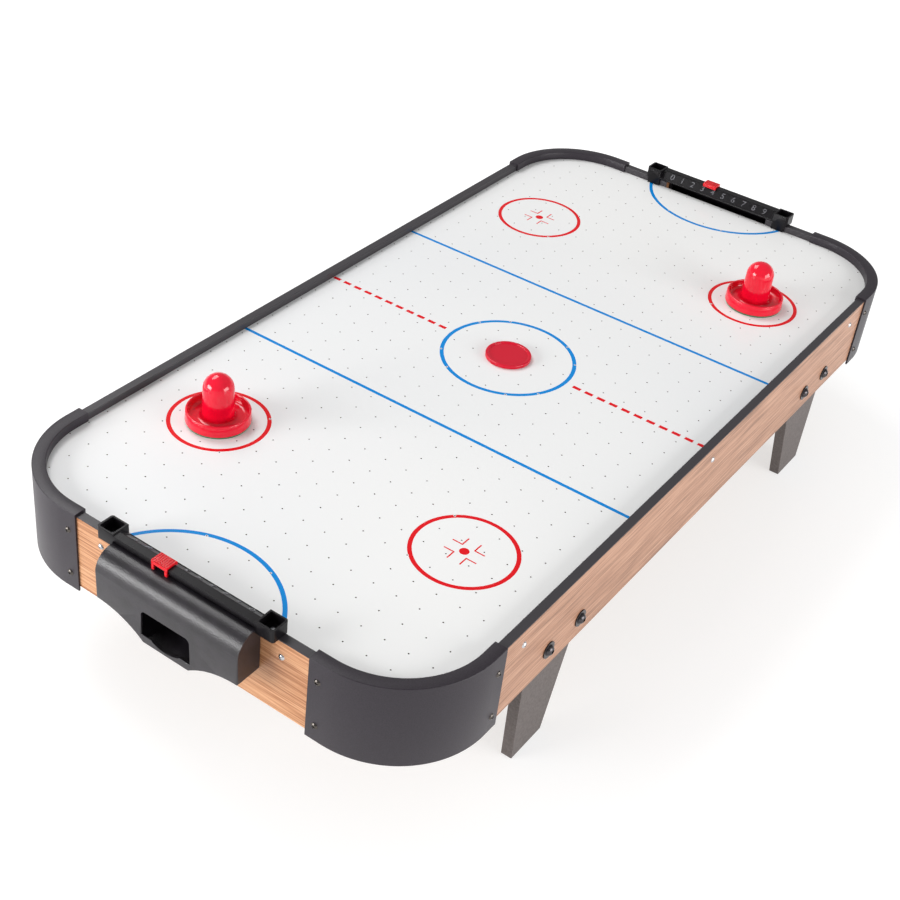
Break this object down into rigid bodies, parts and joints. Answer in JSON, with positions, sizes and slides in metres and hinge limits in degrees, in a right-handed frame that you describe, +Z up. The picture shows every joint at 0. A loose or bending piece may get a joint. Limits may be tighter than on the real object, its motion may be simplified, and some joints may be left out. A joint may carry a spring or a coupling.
{
  "type": "tabletop air hockey table",
  "caption": "Tabletop air hockey table with rounded corners, drilled white playing surface, a goal box and sliding score marker at each end, two mallets and a puck.",
  "frame": {"origin": "floor level, at the centre of the table", "axes": "+Y along the table from the near goal to the far goal, +X across it to the right, +Z up from the floor"},
  "size_m": [0.5186, 1.079, 0.246],
  "materials": {
    "surface_board": "white gloss lacquer",
    "frame_board": "tan wood-grain laminate",
    "trim_plastic": "satin black",
    "cap_plastic": "satin charcoal",
    "leg_board": "matt black paint",
    "raw_board": "bare fibreboard",
    "foam": "open matt foam",
    "goal_plastic": "fine grain black",
    "score_plastic": "semi-gloss black",
    "marker_plastic": "glossy red",
    "mallet_plastic": "glossy red",
    "felt": "green felt",
    "puck_plastic": "glossy red",
    "dark_steel": "black zinc",
    "bright_steel": "bright zinc",
    "fan_plastic": "matt black",
    "motor_metal": "plain can",
    "switch_plastic": "satin black",
    "rocker_plastic": "glossy dark red",
    "lead_rubber": "matt black"
  },
  "bodies": {
    "frame": {"playing_surface": "surface_board", "side_panel_right": "frame_board", "side_panel_left": "frame_board", "end_panel_near": "frame_board", "end_panel_far": "frame_board", "side_trim_right": "trim_plastic", "side_trim_left": "trim_plastic", "end_trim_near_right": "trim_plastic", "end_trim_near_left": "trim_plastic", "end_trim_far_right": "trim_plastic", "end_trim_far_left": "trim_plastic", "corner_cap_near_right": "cap_plastic", "corner_cap_near_left": "cap_plastic", "corner_cap_far_right": "cap_plastic", "corner_cap_far_left": "cap_plastic", "chamber_floor": "raw_board", "side_batten_right": "raw_board", "side_batten_left": "raw_board", "end_battens_near": "raw_board", "end_battens_far": "raw_board", "air_seal_near": "foam", "air_seal_far": "foam", "chamber_rib_right": "raw_board", "chamber_rib_left": "raw_board", "leg_near_right": "leg_board", "leg_near_left": "leg_board", "leg_far_right": "leg_board", "leg_far_left": "leg_board", "leg_bolts": "dark_steel", "leg_washers": "dark_steel", "leg_nuts": "bright_steel", "cap_screws": "dark_steel", "panel_screws": "bright_steel", "floor_screws": "bright_steel", "goal_box_near": "goal_plastic", "goal_box_far": "goal_plastic", "goal_box_screws": "bright_steel", "score_bar_near": "score_plastic", "score_bar_far": "score_plastic", "score_bar_screws": "bright_steel", "blower_housing": "fan_plastic", "blower_motor": "motor_metal", "blower_grille": "fan_plastic", "blower_screws": "bright_steel", "switch_body": "switch_plastic", "power_jack": "switch_plastic", "blower_lead": "lead_rubber"},
    "near_marker": {"score_marker_near": "marker_plastic"},
    "far_marker": {"score_marker_far": "marker_plastic"},
    "near_striker": {"mallet_near": "mallet_plastic", "mallet_pad_near": "felt"},
    "far_striker": {"mallet_far": "mallet_plastic", "mallet_pad_far": "felt"},
    "disc": {"puck": "puck_plastic"},
    "fan": {"blower_impeller": "fan_plastic", "blower_shaft": "bright_steel"},
    "rocker": {"switch_rocker": "rocker_plastic"}
  },
  "joints": [
    {"name": "score_marker_near_slide", "type": "slide", "parent": "frame", "child": "near_marker", "axis": [1, 0, 0], "range_m": [-0.0475, 0.0975]},
    {"name": "score_marker_far_slide", "type": "slide", "parent": "frame", "child": "far_marker", "axis": [1, 0, 0], "range_m": [-0.0575, 0.0875]},
    {"name": "mallet_near_slide", "type": "slide", "parent": "frame", "child": "near_striker", "axis": [0, 1, 0], "range_m": [-0.159, 0.27]},
    {"name": "mallet_far_slide", "type": "slide", "parent": "frame", "child": "far_striker", "axis": [0, 1, 0], "range_m": [-0.27, 0.159]},
    {"name": "puck_slide", "type": "slide", "parent": "frame", "child": "disc", "axis": [0, 1, 0], "range_m": [-0.5, 0.5]},
    {"name": "fan_spin", "type": "hinge", "parent": "frame", "child": "fan", "pos_m": [0, 0, 0.14], "axis": [0, 0, 1], "continuous": true},
    {"name": "switch_rock", "type": "hinge", "parent": "frame", "child": "rocker", "pos_m": [-0.253, -0.04, 0.142], "axis": [0, 0, 1], "range_deg": [0, 16]}
  ]
}
